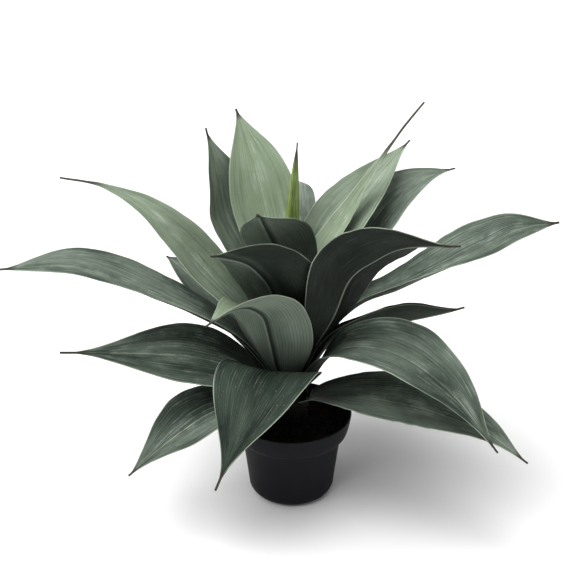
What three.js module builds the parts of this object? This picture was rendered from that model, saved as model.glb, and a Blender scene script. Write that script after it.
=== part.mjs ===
// Potted foxtail agave: a rosette of broad, spine-tipped leaves on a short stem, in a round nursery pot.
// Millimetres, +Z up. The origin is the middle of the pot's foot, on the surface that it stands on.
// The rosette's fullest side, where the lowest leaf hangs over the rim, faces -Y.
import * as THREE from 'three';

// Pot: a thin moulded tub with a tapered rim band and a rounded foot
const RIM_RADIUS = 65;
const POT_HEIGHT = 96;
const BAND_HEIGHT = 26;
const BAND_FOOT_RADIUS = 57;
const BODY_TOP_RADIUS = 53.5;
const BODY_FOOT_RADIUS = 46.5;
const FOOT_RADIUS = 38;
const FOOT_ROUNDING = 9;
const FOOT_STEPS = 3;
const BAND_STEP = 1.5;
const POT_WALL = 1.6;
const POT_FLOOR = 2.4;
const POT_SIDES = 48;

// Soil and stem
const CLEARANCE = 0.3;
const SOIL_HEIGHT = 82;
const SOIL_MOUND = 3;
const SOIL_CROWN_RADIUS = 25;
const SOIL_SIDES = 32;
const STEM_RADIUS = 18;
const STEM_TIP_RADIUS = 8;
const STEM_FOOT = 55;
const STEM_SHOULDER = 145;
const STEM_TOP = 202;
const STEM_SIDES = 20;

// Leaves: blades that are thickest along the middle
const MIDDLE_THICKNESS = 2;
const EDGE_THICKNESS = 0.9;
const TIP_WIDTH = 1.8;
const WIDENING = 1.2;
const WAVE_LEAD = 0.35;
const SPINE_TENSION = 0.5;
const LEAF_ROWS = 17;
const LEAF_COLUMNS = 6;

// Spear: the youngest leaf, still rolled into a thin cone in the middle of the rosette
const SPEAR_HEIGHT = 201;
const SPEAR_FOOT_RADIUS = 6;
const SPEAR_WIDEST_RADIUS = 8.5;
const SPEAR_WIDEST = 0.4;
const SPEAR_FULLNESS = 1.15;
const SPEAR_LEAN = 5;
const SPEAR_BEND = 11;
const SPEAR_SIDES = 12;
const SPEAR_ROWS = 10;

// Colours; a leaf's colour goes from the low one to the high one with the height of its seat
const POT_COLOR = 0x2e2e32;
const SOIL_COLOR = 0x1c1a18;
const STEM_COLOR = 0x5b5a44;
const SPEAR_COLOR = 0xa3ad5a;
const LOW_LEAF_COLOR = 0x4c5a4e;
const HIGH_LEAF_COLOR = 0x93a389;

// Surface roughness of each material
const POT_ROUGHNESS = 0.6;
const SOIL_ROUGHNESS = 0.95;
const STEM_ROUGHNESS = 0.8;
const LEAF_ROUGHNESS = 0.55;

// What most leaves share. Angles are in degrees, as [at the base, halfway, at the tip]:
// fold raises both halves of the blade from the midrib, curl rounds each half, roll turns the whole blade.
const COMMON = {
  base: 20,
  widest: 0.5,
  taper: 1.5,
  fold: [4, 14, 20],
  curl: [28, 12, 10],
  roll: [0, 0, 0],
  wave: [0, 2, 0],
};

// One entry for each leaf, from the lowest seat up. facing is the compass angle that the leaf points to,
// with 0 along +X and 90 along +Y; seat is the height of its base on the stem;
// spine lists points of its midrib as [distance from the stem's axis, height]; width is its greatest width,
// and widest is how far along the blade that is, from 0 to 1; a greater taper draws the tip in sooner;
// wave is the height of the margin's waves, their number and where the first one starts.
const LEAVES = [
  { facing: 100, seat: 108, width: 90, spine: [[58, 146], [110, 158], [165, 142], [215, 104]] },
  { facing: 213, seat: 111, width: 70, roll: [0, -12, -5], wave: [2.5, 2, 0.1],
    spine: [[50, 125], [99, 126], [143, 112], [198, 84]] },
  { facing: 332, seat: 115, width: 86, base: 34, widest: 0.42, fold: [4, 8, 20], roll: [0, 8, 5],
    spine: [[38, 126], [69, 134], [112, 139], [160, 140], [220, 132], [266, 110]] },
  { facing: 128, seat: 118, width: 80, spine: [[55, 156], [110, 174], [165, 168], [215, 140]] },
  { facing: 192, seat: 122, width: 80, widest: 0.36, taper: 2.3, fold: [4, 5, 20], roll: [0, -32, -45],
    spine: [[40, 143], [66, 159], [108, 175], [150, 183], [199, 190], [242, 195]] },
  { facing: 66, seat: 124, width: 84, spine: [[55, 170], [110, 189], [170, 183], [222, 150]] },
  { facing: 247, seat: 127, width: 108, base: 30, widest: 0.3, taper: 2.2, fold: [3, 3, 15],
    curl: [28, 4, 10], roll: [0, 5, 0],
    spine: [[36, 157], [60, 175], [90, 170], [124, 149], [190, 112]] },
  { facing: 328, seat: 131, width: 80, base: 21, taper: 1.6, roll: [-4, 15, 0],
    spine: [[40, 170], [62, 190], [98, 201], [140, 198], [190, 172], [240, 124]] },
  { facing: 145, seat: 132, width: 76, widest: 0.6, taper: 1.1,
    spine: [[50, 168], [95, 198], [135, 220], [168, 236]] },
  { facing: 180, seat: 140, width: 76, taper: 1.45, roll: [0, 4, -40],
    spine: [[54, 184], [96, 211], [140, 233], [197, 259], [238, 269], [301, 265]] },
  { facing: 98, seat: 144, width: 88, spine: [[48, 196], [95, 230], [152, 238], [205, 212]] },
  { facing: 237, seat: 145, width: 92, base: 40, widest: 0.34, taper: 1.6, fold: [4, 16, 20],
    curl: [36, 12, 10], roll: [0, 14, 20],
    spine: [[32, 168], [43, 202], [56, 234], [84, 256], [119, 265], [151, 265]] },
  { facing: 7, seat: 145, width: 46, base: 12, widest: 0.6, taper: 1.9, fold: [4, 42, 60],
    roll: [0, -28, 0],
    spine: [[45, 181], [85, 192], [120, 198], [156, 204], [185, 210]] },
  { facing: 315, seat: 152, width: 86, base: 12, widest: 0.6, taper: 2.1, fold: [4, 20, 14],
    curl: [28, 8, 8], roll: [0, -31, -30],
    spine: [[32, 185], [59, 232], [80, 281], [112, 312], [150, 338], [213, 359]] },
  { facing: 163, seat: 159, width: 54, base: 16, widest: 0.42, taper: 2.6,
    fold: [4, 22, 35], roll: [0, -28, -10],
    spine: [[40, 196], [62, 219], [97, 253], [125, 283], [164, 315], [213, 334], [256, 337]] },
  { facing: 117, seat: 161, width: 56, base: 12, spine: [[40, 208], [80, 243], [125, 262], [180, 256]] },
  { facing: 240, seat: 164, width: 104, base: 24, widest: 0.4, taper: 1.2, fold: [4, 16, 20],
    roll: [0, 16, 28],
    spine: [[23, 222], [41, 256], [60, 281], [95, 311], [151, 340]] },
  { facing: 8, seat: 166, width: 80, widest: 0.6, taper: 1.5, roll: [0, -10, 55],
    spine: [[68, 218], [114, 236], [163, 258], [205, 279], [236, 295], [282, 301]] },
  { facing: 56, seat: 169, width: 64, base: 15, spine: [[50, 218], [100, 250], [150, 262], [200, 252]] },
  { facing: 42, seat: 173, width: 70, roll: [0, 8, 10],
    spine: [[50, 231], [84, 258], [128, 292], [151, 305], [176, 312], [206, 315], [247, 313]] },
  { facing: 88, seat: 181, width: 47, base: 16, widest: 0.6, taper: 1.2,
    fold: [4, -4, -6], curl: [28, -12, -14],
    spine: [[40, 232], [72, 269], [108, 292], [142, 302], [172, 294], [190, 272]] },
  { facing: 144, seat: 186, width: 84, base: 16, widest: 0.6, taper: 1.8,
    spine: [[33, 236], [61, 269], [86, 306], [95, 342], [110, 396]] },
  { facing: 245, seat: 187, width: 88, widest: 0.58, taper: 1.2, fold: [4, 28, 20], roll: [0, 20, 15],
    spine: [[16, 240], [29, 285], [50, 316], [66, 337], [80, 357]] },
  { facing: 48, seat: 188, width: 72, roll: [0, 5, 0],
    spine: [[35, 240], [60, 277], [93, 301], [134, 323], [168, 341], [194, 354]] },
  { facing: 40, seat: 193, width: 35, base: 15, widest: 0.3, taper: 3.4, fold: [4, 25, 40],
    spine: [[24, 240], [45, 272], [82, 309], [113, 344], [149, 380], [184, 406]] },
  { facing: 120, seat: 198, width: 73, base: 16, widest: 0.58, taper: 1.5, roll: [0, -25, -10],
    spine: [[32, 270], [52, 308], [73, 348], [98, 380], [118, 404]] },
];

const BAND_FOOT = POT_HEIGHT - BAND_HEIGHT;
const UP = new THREE.Vector3(0, 0, 1);
const radians = THREE.MathUtils.degToRad;

function stemRadius(height) {
  const above = Math.max(0, height - STEM_SHOULDER) / (STEM_TOP - STEM_SHOULDER);
  return STEM_RADIUS + (STEM_TIP_RADIUS - STEM_RADIUS) * above;
}

// The value at t, from 0 to 1, of the parabola through three values at 0, a half and 1
function along([base, middle, tip], t) {
  return base * (1 - t) * (1 - 2 * t) + 4 * middle * t * (1 - t) + tip * t * (2 * t - 1);
}

function outwardDirection(leaf) {
  const angle = radians(leaf.facing);
  return new THREE.Vector3(Math.cos(angle), Math.sin(angle), 0);
}

function spineCurve(leaf) {
  const outward = outwardDirection(leaf);
  const seatReach = stemRadius(leaf.seat) + CLEARANCE + MIDDLE_THICKNESS / 2;
  const points = [[seatReach, leaf.seat], ...leaf.spine].map(([reach, height]) =>
    outward.clone().multiplyScalar(reach).addScaledVector(UP, height));
  return new THREE.CatmullRomCurve3(points, false, 'catmullrom', SPINE_TENSION);
}

function widthAt(leaf, t) {
  if (t < leaf.widest) {
    const rise = Math.sin((Math.PI / 2) * (t / leaf.widest)) ** WIDENING;
    return leaf.base + (leaf.width - leaf.base) * rise;
  }
  const past = (t - leaf.widest) / (1 - leaf.widest);
  return Math.max(TIP_WIDTH, leaf.width * (1 - past * past) ** leaf.taper);
}

// The blade's cross direction and its upper-face direction at t, turned by the leaf's roll
function bladeFrame(leaf, spine, t) {
  const outward = outwardDirection(leaf);
  const tangent = spine.getTangentAt(t);
  const side = new THREE.Vector3(-outward.y, outward.x, 0);
  side.addScaledVector(tangent, -side.dot(tangent)).normalize();
  const face = new THREE.Vector3().crossVectors(tangent, side);
  const roll = radians(along(leaf.roll, t));
  return {
    centre: spine.getPointAt(t),
    side: side.clone().multiplyScalar(Math.cos(roll)).addScaledVector(face, Math.sin(roll)),
    face: face.clone().multiplyScalar(Math.cos(roll)).addScaledVector(side, -Math.sin(roll)),
  };
}

// The middle surface of the blade: across runs from -1 at one margin to 1 at the other
function bladePoint(leaf, frame, t, across) {
  const half = widthAt(leaf, t) / 2;
  const fold = radians(along(leaf.fold, t));
  const curl = radians(along(leaf.curl, t));
  const away = Math.abs(across);
  const hand = Math.sign(across);
  const out = half * (Math.sin(fold + curl * away) - Math.sin(fold)) / curl;
  const [waveHeight, waves, phase] = leaf.wave;
  const turn = 2 * Math.PI * (waves * t + phase + (across > 0 ? WAVE_LEAD : 0));
  const ripple = waveHeight * away * away * Math.sin(Math.PI * t) * Math.sin(turn);
  const rise = half * (Math.cos(fold) - Math.cos(fold + curl * away)) / curl + ripple;
  const lean = fold * Math.min(1, away * LEAF_COLUMNS) + curl * away;
  return {
    point: frame.centre.clone().addScaledVector(frame.side, hand * out).addScaledVector(frame.face, rise),
    normal: frame.face.clone().multiplyScalar(Math.cos(lean))
      .addScaledVector(frame.side, -hand * Math.sin(lean)),
  };
}

// A closed solid from two grids of points, one for each face, joined by a strip round their edge
function closedSheet(upper, lower, rows, columns) {
  const at = (row, column) => row * (columns + 1) + column;
  const below = upper.length;
  const index = [];
  const faceBoth = (a, b, c) => index.push(a, b, c, below + a, below + c, below + b);
  for (let row = 0; row < rows; row += 1) {
    for (let column = 0; column < columns; column += 1) {
      const near = at(row, column);
      const far = at(row + 1, column);
      const nearNext = at(row, column + 1);
      const farNext = at(row + 1, column + 1);
      if (column < columns / 2) {
        faceBoth(near, far, farNext);
        faceBoth(near, farNext, nearNext);
      } else {
        faceBoth(near, far, nearNext);
        faceBoth(far, farNext, nearNext);
      }
    }
  }
  const rim = [];
  for (let row = 0; row < rows; row += 1) rim.push(at(row, 0));
  for (let column = 0; column < columns; column += 1) rim.push(at(rows, column));
  for (let row = rows; row > 0; row -= 1) rim.push(at(row, columns));
  for (let column = columns; column > 0; column -= 1) rim.push(at(0, column));
  rim.forEach((corner, place) => {
    const next = rim[(place + 1) % rim.length];
    index.push(corner, below + corner, next, next, below + corner, below + next);
  });
  const geometry = new THREE.BufferGeometry().setFromPoints([...upper, ...lower]);
  geometry.setIndex(index);
  geometry.computeVertexNormals();
  return geometry;
}

function leafGeometry(leaf) {
  const spine = spineCurve(leaf);
  const upper = [];
  const lower = [];
  for (let row = 0; row <= LEAF_ROWS; row += 1) {
    const t = row / LEAF_ROWS;
    const frame = bladeFrame(leaf, spine, t);
    for (let column = 0; column <= LEAF_COLUMNS; column += 1) {
      const across = (2 * column) / LEAF_COLUMNS - 1;
      const { point, normal } = bladePoint(leaf, frame, t, across);
      const half = THREE.MathUtils.lerp(MIDDLE_THICKNESS, EDGE_THICKNESS, Math.abs(across)) / 2;
      upper.push(point.clone().addScaledVector(normal, half));
      lower.push(point.clone().addScaledVector(normal, -half));
    }
  }
  return closedSheet(upper, lower, LEAF_ROWS, LEAF_COLUMNS);
}

// A surface of revolution about the pot's axis, from [radius, height] points
function turned(profile, sides) {
  const points = profile.map(([radius, height]) => new THREE.Vector2(radius, height));
  return new THREE.LatheGeometry(points, sides).rotateX(Math.PI / 2);
}

// How far the pot's inner face is from the axis at a height above the rounded foot
function innerRadius(height) {
  if (height > BAND_FOOT) {
    const up = (height - BAND_FOOT) / BAND_HEIGHT;
    return THREE.MathUtils.lerp(BODY_TOP_RADIUS, RIM_RADIUS, up) - POT_WALL;
  }
  const up = (height - FOOT_ROUNDING) / (BAND_FOOT - FOOT_ROUNDING);
  return THREE.MathUtils.lerp(BODY_FOOT_RADIUS, BODY_TOP_RADIUS, up) - POT_WALL;
}

// A quarter turn of rounding, from the flat foot out and up to the body's lower end
function roundedFoot() {
  const points = [];
  for (let step = 0; step < FOOT_STEPS; step += 1) {
    const angle = (Math.PI / 2) * (step / FOOT_STEPS);
    points.push([
      THREE.MathUtils.lerp(FOOT_RADIUS, BODY_FOOT_RADIUS, Math.sin(angle)),
      FOOT_ROUNDING * (1 - Math.cos(angle)),
    ]);
  }
  return points;
}

function potGeometry() {
  return turned([
    [0, 0],
    ...roundedFoot(),
    [BODY_FOOT_RADIUS, FOOT_ROUNDING],
    [BODY_TOP_RADIUS, BAND_FOOT],
    [BAND_FOOT_RADIUS, BAND_FOOT + BAND_STEP],
    [RIM_RADIUS, POT_HEIGHT],
    [RIM_RADIUS - POT_WALL, POT_HEIGHT],
    [innerRadius(BAND_FOOT), BAND_FOOT],
    [innerRadius(FOOT_ROUNDING), FOOT_ROUNDING],
    [FOOT_RADIUS, POT_FLOOR],
    [0, POT_FLOOR],
  ], POT_SIDES);
}

function soilGeometry() {
  const hole = STEM_RADIUS + CLEARANCE;
  const floor = POT_FLOOR + CLEARANCE;
  const holeFloor = STEM_FOOT - CLEARANCE;
  const top = SOIL_HEIGHT + SOIL_MOUND;
  return turned([
    [0, floor],
    [FOOT_RADIUS - CLEARANCE, floor],
    [innerRadius(FOOT_ROUNDING) - CLEARANCE, FOOT_ROUNDING + CLEARANCE],
    [innerRadius(BAND_FOOT) - CLEARANCE, BAND_FOOT],
    [innerRadius(SOIL_HEIGHT) - CLEARANCE, SOIL_HEIGHT],
    [SOIL_CROWN_RADIUS, top],
    [hole, top],
    [hole, holeFloor],
    [0, holeFloor],
  ], SOIL_SIDES);
}

function stemGeometry() {
  return turned([
    [0, STEM_FOOT],
    [STEM_RADIUS, STEM_FOOT],
    [STEM_RADIUS, STEM_SHOULDER],
    [STEM_TIP_RADIUS, STEM_TOP],
    [0, STEM_TOP],
  ], STEM_SIDES);
}

function spearRadius(t) {
  if (t < SPEAR_WIDEST) {
    return THREE.MathUtils.lerp(SPEAR_FOOT_RADIUS, SPEAR_WIDEST_RADIUS, t / SPEAR_WIDEST);
  }
  const past = (t - SPEAR_WIDEST) / (1 - SPEAR_WIDEST);
  return Math.max(TIP_WIDTH / 2, SPEAR_WIDEST_RADIUS * (1 - past ** SPEAR_FULLNESS));
}

function spearGeometry() {
  const profile = [[0, 0]];
  for (let row = 0; row <= SPEAR_ROWS; row += 1) {
    const t = row / SPEAR_ROWS;
    profile.push([spearRadius(t), SPEAR_HEIGHT * t]);
  }
  profile.push([0, SPEAR_HEIGHT]);
  const geometry = turned(profile, SPEAR_SIDES);
  const position = geometry.getAttribute('position');
  for (let corner = 0; corner < position.count; corner += 1) {
    const t = position.getZ(corner) / SPEAR_HEIGHT;
    position.setX(corner, position.getX(corner) + SPEAR_LEAN * t - SPEAR_BEND * t * (1 - t));
  }
  return geometry;
}

function piece(name, geometry, color, roughness) {
  const mesh = new THREE.Mesh(geometry, new THREE.MeshStandardMaterial({ color, roughness, metalness: 0 }));
  mesh.name = name;
  return mesh;
}

function leafColor(leaf) {
  const [lowest, highest] = [LEAVES[0].seat, LEAVES[LEAVES.length - 1].seat];
  const above = (leaf.seat - lowest) / (highest - lowest);
  return new THREE.Color(LOW_LEAF_COLOR).lerp(new THREE.Color(HIGH_LEAF_COLOR), above);
}

const plant = new THREE.Group();
plant.add(piece('pot', potGeometry(), POT_COLOR, POT_ROUGHNESS));
plant.add(piece('soil', soilGeometry(), SOIL_COLOR, SOIL_ROUGHNESS));
plant.add(piece('stem', stemGeometry(), STEM_COLOR, STEM_ROUGHNESS));
LEAVES.forEach((entry, order) => {
  const leaf = { ...COMMON, ...entry };
  const name = `leaf_${String(order + 1).padStart(2, '0')}`;
  plant.add(piece(name, leafGeometry(leaf), leafColor(leaf), LEAF_ROUGHNESS));
});
const spear = piece('spear_leaf', spearGeometry(), SPEAR_COLOR, LEAF_ROUGHNESS);
spear.position.z = STEM_TOP + CLEARANCE;
plant.add(spear);

export default plant;
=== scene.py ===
"""Potted foxtail agave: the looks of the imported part. Metres, +Z up, the pot's foot at the origin."""

import math
from types import SimpleNamespace

import bpy
import numpy as np
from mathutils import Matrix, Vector


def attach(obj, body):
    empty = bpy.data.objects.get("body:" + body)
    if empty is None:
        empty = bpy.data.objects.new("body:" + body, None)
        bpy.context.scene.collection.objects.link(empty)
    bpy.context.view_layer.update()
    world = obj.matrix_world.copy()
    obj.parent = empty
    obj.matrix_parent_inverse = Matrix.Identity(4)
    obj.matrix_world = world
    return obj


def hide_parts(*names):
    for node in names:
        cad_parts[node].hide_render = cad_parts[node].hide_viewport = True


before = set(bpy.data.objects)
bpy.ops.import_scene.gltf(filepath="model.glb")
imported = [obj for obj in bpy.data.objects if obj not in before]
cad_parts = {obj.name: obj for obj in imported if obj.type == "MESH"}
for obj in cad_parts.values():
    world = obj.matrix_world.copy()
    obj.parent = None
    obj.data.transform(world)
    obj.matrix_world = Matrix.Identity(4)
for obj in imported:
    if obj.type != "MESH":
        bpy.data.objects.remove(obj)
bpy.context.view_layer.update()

# Pot
# The real pot is a thin nursery pot of matt black plastic, injection moulded in one piece. Its tapered
# rim band runs into the body in a soft slope, and its foot is rounded. It stands free on its foot.

MM = 0.001
RIM_RADIUS = 65 * MM
POT_HEIGHT = 96 * MM
BODY_TOP_RADIUS = 53.5 * MM
BODY_FOOT_RADIUS = 46.5 * MM
FOOT_RADIUS = 34 * MM
FOOT_ROUNDING = 13 * MM
FOOT_STEPS = 8
UNDERSIDE_RING = FOOT_RADIUS * 0.6
POT_WALL = 1.6 * MM
POT_FLOOR = 2.4 * MM
POT_SIDES = 144
LIP_RADIUS = 0.7 * MM
LIP_STEPS = 4
LIP_HEIGHT = POT_HEIGHT - LIP_RADIUS

# The rim band. A soft slope leads out to it from the body: it starts at the root radius, lower than the
# band's foot by the blend, and takes up a share of the height. Above it the band only swells a little.
BAND_FOOT = 70 * MM
BAND_FOOT_RADIUS = 57 * MM
BAND_ROOT_RADIUS = BODY_TOP_RADIUS - 0.6 * MM
BAND_BLEND = 5 * MM
BAND_SWELL = 1.2 * MM
BAND_STEPS = 14
SLOPE_START = 0.02
SLOPE_SHARE = 0.3

PLASTIC_DARK = (0.0050, 0.0054, 0.0066, 1)
PLASTIC_LIGHT = (0.0085, 0.0090, 0.0106, 1)
FLOW_COLOUR = (0.018, 0.018, 0.022, 1)
DUST_COLOUR = (0.045, 0.043, 0.041, 1)
DUST_FOOT = 60 * MM
PLASTIC_SHEEN = 0.08


def mesh_piece(name, points, faces, material):
    """A smooth-shaded mesh object with its place in its mesh."""
    mesh = bpy.data.meshes.new(name)
    mesh.from_pydata([tuple(point) for point in points], [], faces)
    mesh.polygons.foreach_set("use_smooth", [True] * len(mesh.polygons))
    mesh.materials.append(material)
    mesh.update()
    piece = bpy.data.objects.new(name, mesh)
    bpy.context.scene.collection.objects.link(piece)
    return piece


def capped_tube(foot, rings, top):
    """Points and faces of a closed tube: rings of points from the foot up, and one point at each end."""
    sides = len(rings[0])
    points = [foot, *(point for ring in rings for point in ring), top]
    last = len(points) - 1
    top_ring = last - sides
    faces = []
    for side in range(sides):
        after = (side + 1) % sides
        faces.append((0, 1 + after, 1 + side))
        faces.append((last, top_ring + side, top_ring + after))
        for ring in range(len(rings) - 1):
            low, high = 1 + ring * sides, 1 + (ring + 1) * sides
            faces.append((low + side, low + after, high + after, high + side))
    return points, faces


def turned(profile, sides):
    """Points and faces of a surface of revolution from (radius, height) points, both ends on the axis."""
    angles = np.arange(sides) * 2 * math.pi / sides
    rings = [[(radius * math.cos(a), radius * math.sin(a), height) for a in angles]
             for radius, height in profile[1:-1]]
    return capped_tube((0, 0, profile[0][1]), rings, (0, 0, profile[-1][1]))


def arc(centre, radius, start, end, steps):
    """Points of an arc in a profile, angles in degrees from the radius direction."""
    turns = np.radians(np.linspace(start, end, steps + 1))
    return [(centre[0] + radius * math.cos(a), centre[1] + radius * math.sin(a)) for a in turns]


def node(tree, kind, options=None, **inputs):
    """Adds a shader node. Its inputs are numbers, colours or other nodes' outputs, by socket name or as
    _0, _1 and so on by the socket's place."""
    made = tree.nodes.new(kind)
    for option, value in (options or {}).items():
        setattr(made, option, value)
    for socket, value in inputs.items():
        key = int(socket[1:]) if socket[1:].isdigit() else socket.replace("_", " ")
        if isinstance(value, bpy.types.NodeSocket):
            tree.links.new(value, made.inputs[key])
        else:
            made.inputs[key].default_value = value
    return made


def maths(tree, operation, a, b=0.0):
    """The outcome of one operation on one or two numbers."""
    return node(tree, "ShaderNodeMath", {"operation": operation}, _0=a, _1=b).outputs[0]


def times(tree, product, *factors):
    """Numbers multiplied together."""
    for factor in factors:
        product = maths(tree, "MULTIPLY", product, factor)
    return product


def blend_colour(tree, factor, a, b):
    """Colour a where the factor is 0, b where it is 1, and a mix between."""
    return node(tree, "ShaderNodeMix", {"data_type": "RGBA"}, _0=factor, _6=a, _7=b).outputs[2]


def span(tree, value, low, high, to=(0.0, 1.0)):
    """Maps low..high of a value smoothly to the two numbers given, and holds it outside."""
    ends = {"_1": low, "_2": high, "_3": to[0], "_4": to[1]}
    options = {"interpolation_type": "SMOOTHSTEP"}
    return node(tree, "ShaderNodeMapRange", options, _0=value, **ends).outputs[0]


def noise(tree, place, scale, detail=3.0, roughness=0.5):
    """Cloudy noise from 0 to 1, most of it near a half."""
    settings = {"Scale": scale, "Detail": detail, "Roughness": roughness}
    return node(tree, "ShaderNodeTexNoise", None, Vector=place, **settings).outputs[0]


def stretched(tree, place, across, along, up=1.0):
    """The place with each of its directions scaled, for marks longer one way than the other."""
    mapping = node(tree, "ShaderNodeMapping", None, Vector=place)
    mapping.inputs["Scale"].default_value = (across, along, up)
    return mapping.outputs[0]


def bump(tree, height, distance, strength, under=None):
    """A fine relief, laid over the one given as under."""
    made = node(tree, "ShaderNodeBump", None, Height=height, Distance=distance, Strength=strength)
    if under:
        tree.links.new(under, made.inputs["Normal"])
    return made.outputs[0]


def surface(name):
    """A new material with its node tree, its shader and the place of each point on the object."""
    material = bpy.data.materials.new(name)
    material.use_nodes = True
    tree = material.node_tree
    shader = tree.nodes["Principled BSDF"]
    place = node(tree, "ShaderNodeTexCoord").outputs["Object"]
    return material, tree, shader, place


def pot_plastic():
    """Matt black plastic with faint flow marks up its wall, a fine grain, and dust, most near the rim."""
    material, tree, shader, place = surface("pot_plastic")
    cloud = noise(tree, place, scale=18.0, detail=4.0)
    flow = noise(tree, stretched(tree, place, across=1.0, along=1.0, up=0.08), scale=160.0)
    grain = noise(tree, place, scale=2600.0, detail=2.0)
    dust = noise(tree, place, scale=420.0, detail=5.0, roughness=0.65)
    height = node(tree, "ShaderNodeSeparateXYZ", None, Vector=place).outputs[2]
    near_rim = span(tree, height, DUST_FOOT, POT_HEIGHT, to=(0.3, 1.0))
    specks = times(tree, span(tree, dust, 0.62, 0.75, to=(0.0, 0.35)), near_rim)
    colour = blend_colour(tree, cloud, PLASTIC_DARK, PLASTIC_LIGHT)
    colour = blend_colour(tree, times(tree, flow, 0.25), colour, FLOW_COLOUR)
    colour = blend_colour(tree, specks, colour, DUST_COLOUR)
    tree.links.new(colour, shader.inputs["Base Color"])
    tree.links.new(span(tree, cloud, 0.3, 0.7, to=(0.48, 0.62)), shader.inputs["Roughness"])
    shader.inputs["Specular IOR Level"].default_value = PLASTIC_SHEEN
    relief = bump(tree, grain, distance=0.12 * MM, strength=0.5)
    relief = bump(tree, flow, distance=0.4 * MM, strength=0.12, under=relief)
    tree.links.new(relief, shader.inputs["Normal"])
    return material


def pot_profile():
    """The pot's outline, from the middle of its underside up over the rim and down inside to the floor."""
    foot = [(FOOT_RADIUS + (BODY_FOOT_RADIUS - FOOT_RADIUS) * math.sin(a), FOOT_ROUNDING * (1 - math.cos(a)))
            for a in np.linspace(0, math.pi / 2, FOOT_STEPS + 1)]
    up = np.linspace(0, 1, BAND_STEPS)[:-1]
    straight = BAND_FOOT_RADIUS + (RIM_RADIUS - BAND_FOOT_RADIUS) * up + BAND_SWELL * np.sin(math.pi * up)
    slope = np.clip((up - SLOPE_START) / SLOPE_SHARE, 0, 1)
    band_radii = BAND_ROOT_RADIUS + (straight - BAND_ROOT_RADIUS) * slope ** 2 * (3 - 2 * slope)
    band_root = BAND_FOOT - BAND_BLEND
    band_heights = band_root + (LIP_HEIGHT - band_root) * up
    inner_band = RIM_RADIUS - POT_WALL
    return [
        (0, 0),
        (UNDERSIDE_RING, 0),
        *foot,
        *zip(band_radii, band_heights),
        *arc((RIM_RADIUS - LIP_RADIUS, LIP_HEIGHT), LIP_RADIUS, 0, 90, LIP_STEPS),
        *arc((inner_band + LIP_RADIUS, LIP_HEIGHT), LIP_RADIUS, 90, 180, LIP_STEPS),
        (BODY_TOP_RADIUS - POT_WALL, BAND_FOOT),
        (BODY_FOOT_RADIUS - POT_WALL, FOOT_ROUNDING),
        (FOOT_RADIUS, POT_FLOOR),
        (0, POT_FLOOR),
    ]


pot = mesh_piece("nursery_pot", *turned(pot_profile(), POT_SIDES), pot_plastic())
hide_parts("pot")
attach(pot, "root")

# Soil
# The pot is filled with dark, crumbly potting mix, mounded a little round the stem. Loose crumbs of
# peat and bark lie on it. It is held by the pot's wall, and the stem stands in it.

SOIL_HEIGHT = 82 * MM
SOIL_MOUND = 3 * MM
MOUND_TOP_RADIUS = 25 * MM
SOIL_HOLE = 18.3 * MM
SOIL_REACH = 58 * MM
SOIL_RINGS = 44
SOIL_SIDES = 160
SOIL_ROUGHNESS = 0.7 * MM
SOIL_WAVES = 26
SOIL_WAVE_LENGTHS = (3 * MM, 14 * MM)

# The crumbs: their size in millimetres, how far each is stretched, and how far its points are pushed in or
# out and its middle is raised, as shares of its size.
CRUMBS = 420
CRUMB_SIZES = (0.7, 2.6)
CRUMB_STRETCH = (0.5, 1.2)
CRUMB_LUMPS = 0.25
CRUMB_RISE = 0.25
CRUMB_OUTLINE = [(0, -1), (0.8, -0.6), (1, 0), (0.8, 0.6), (0, 1)]
CRUMB_SIDES = 7
CRUMB_NEAREST = SOIL_HOLE + 3 * MM
CRUMB_FARTHEST = SOIL_REACH - 4 * MM
soil_random = np.random.default_rng(11)

PEAT_DARK = (0.0035, 0.0028, 0.0022, 1)
PEAT_LIGHT = (0.016, 0.011, 0.0075, 1)
CHIP_COLOUR = (0.045, 0.032, 0.021, 1)
SOIL_SHEEN = 0.15
SOIL_DULLNESS = 0.95


def ripples(random, count, shortest, longest):
    """A seeded sum of waves over two coordinates: a function of (x, y), from about -1 to 1."""
    lengths = np.exp(random.uniform(math.log(shortest), math.log(longest), count))
    turns = random.uniform(0, 2 * math.pi, count)
    phases = random.uniform(0, 2 * math.pi, count)
    weights = lengths ** 0.5
    weights /= weights.sum()

    def height(x, y):
        total = np.zeros(np.shape(x))
        for length, turn, phase, weight in zip(lengths, turns, phases, weights):
            course = x * math.cos(turn) + y * math.sin(turn)
            total = total + weight * np.sin(course * 2 * math.pi / length + phase)
        return total * 2
    return height


def soil_mix():
    """Dull dark peat with paler chips of bark in it."""
    material, tree, shader, place = surface("potting_mix")
    coarse = noise(tree, place, scale=260.0, detail=6.0, roughness=0.7)
    fine = noise(tree, place, scale=1500.0, detail=4.0, roughness=0.7)
    colour = blend_colour(tree, span(tree, coarse, 0.35, 0.7), PEAT_DARK, PEAT_LIGHT)
    colour = blend_colour(tree, span(tree, fine, 0.6, 0.72, to=(0.0, 0.5)), colour, CHIP_COLOUR)
    tree.links.new(colour, shader.inputs["Base Color"])
    shader.inputs["Roughness"].default_value = SOIL_DULLNESS
    shader.inputs["Specular IOR Level"].default_value = SOIL_SHEEN
    relief = bump(tree, fine, distance=0.6 * MM, strength=0.9)
    relief = bump(tree, coarse, distance=1.5 * MM, strength=0.8, under=relief)
    tree.links.new(relief, shader.inputs["Normal"])
    return material


def soil_top(x, y, relief):
    """The height of the ground at a place: flat round the stem, and falling a little to the wall."""
    outside = (np.hypot(x, y) - MOUND_TOP_RADIUS) / (SOIL_REACH - MOUND_TOP_RADIUS)
    return SOIL_HEIGHT + SOIL_MOUND * np.clip(1 - outside, 0, 1) + SOIL_ROUGHNESS * relief(x, y)


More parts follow.
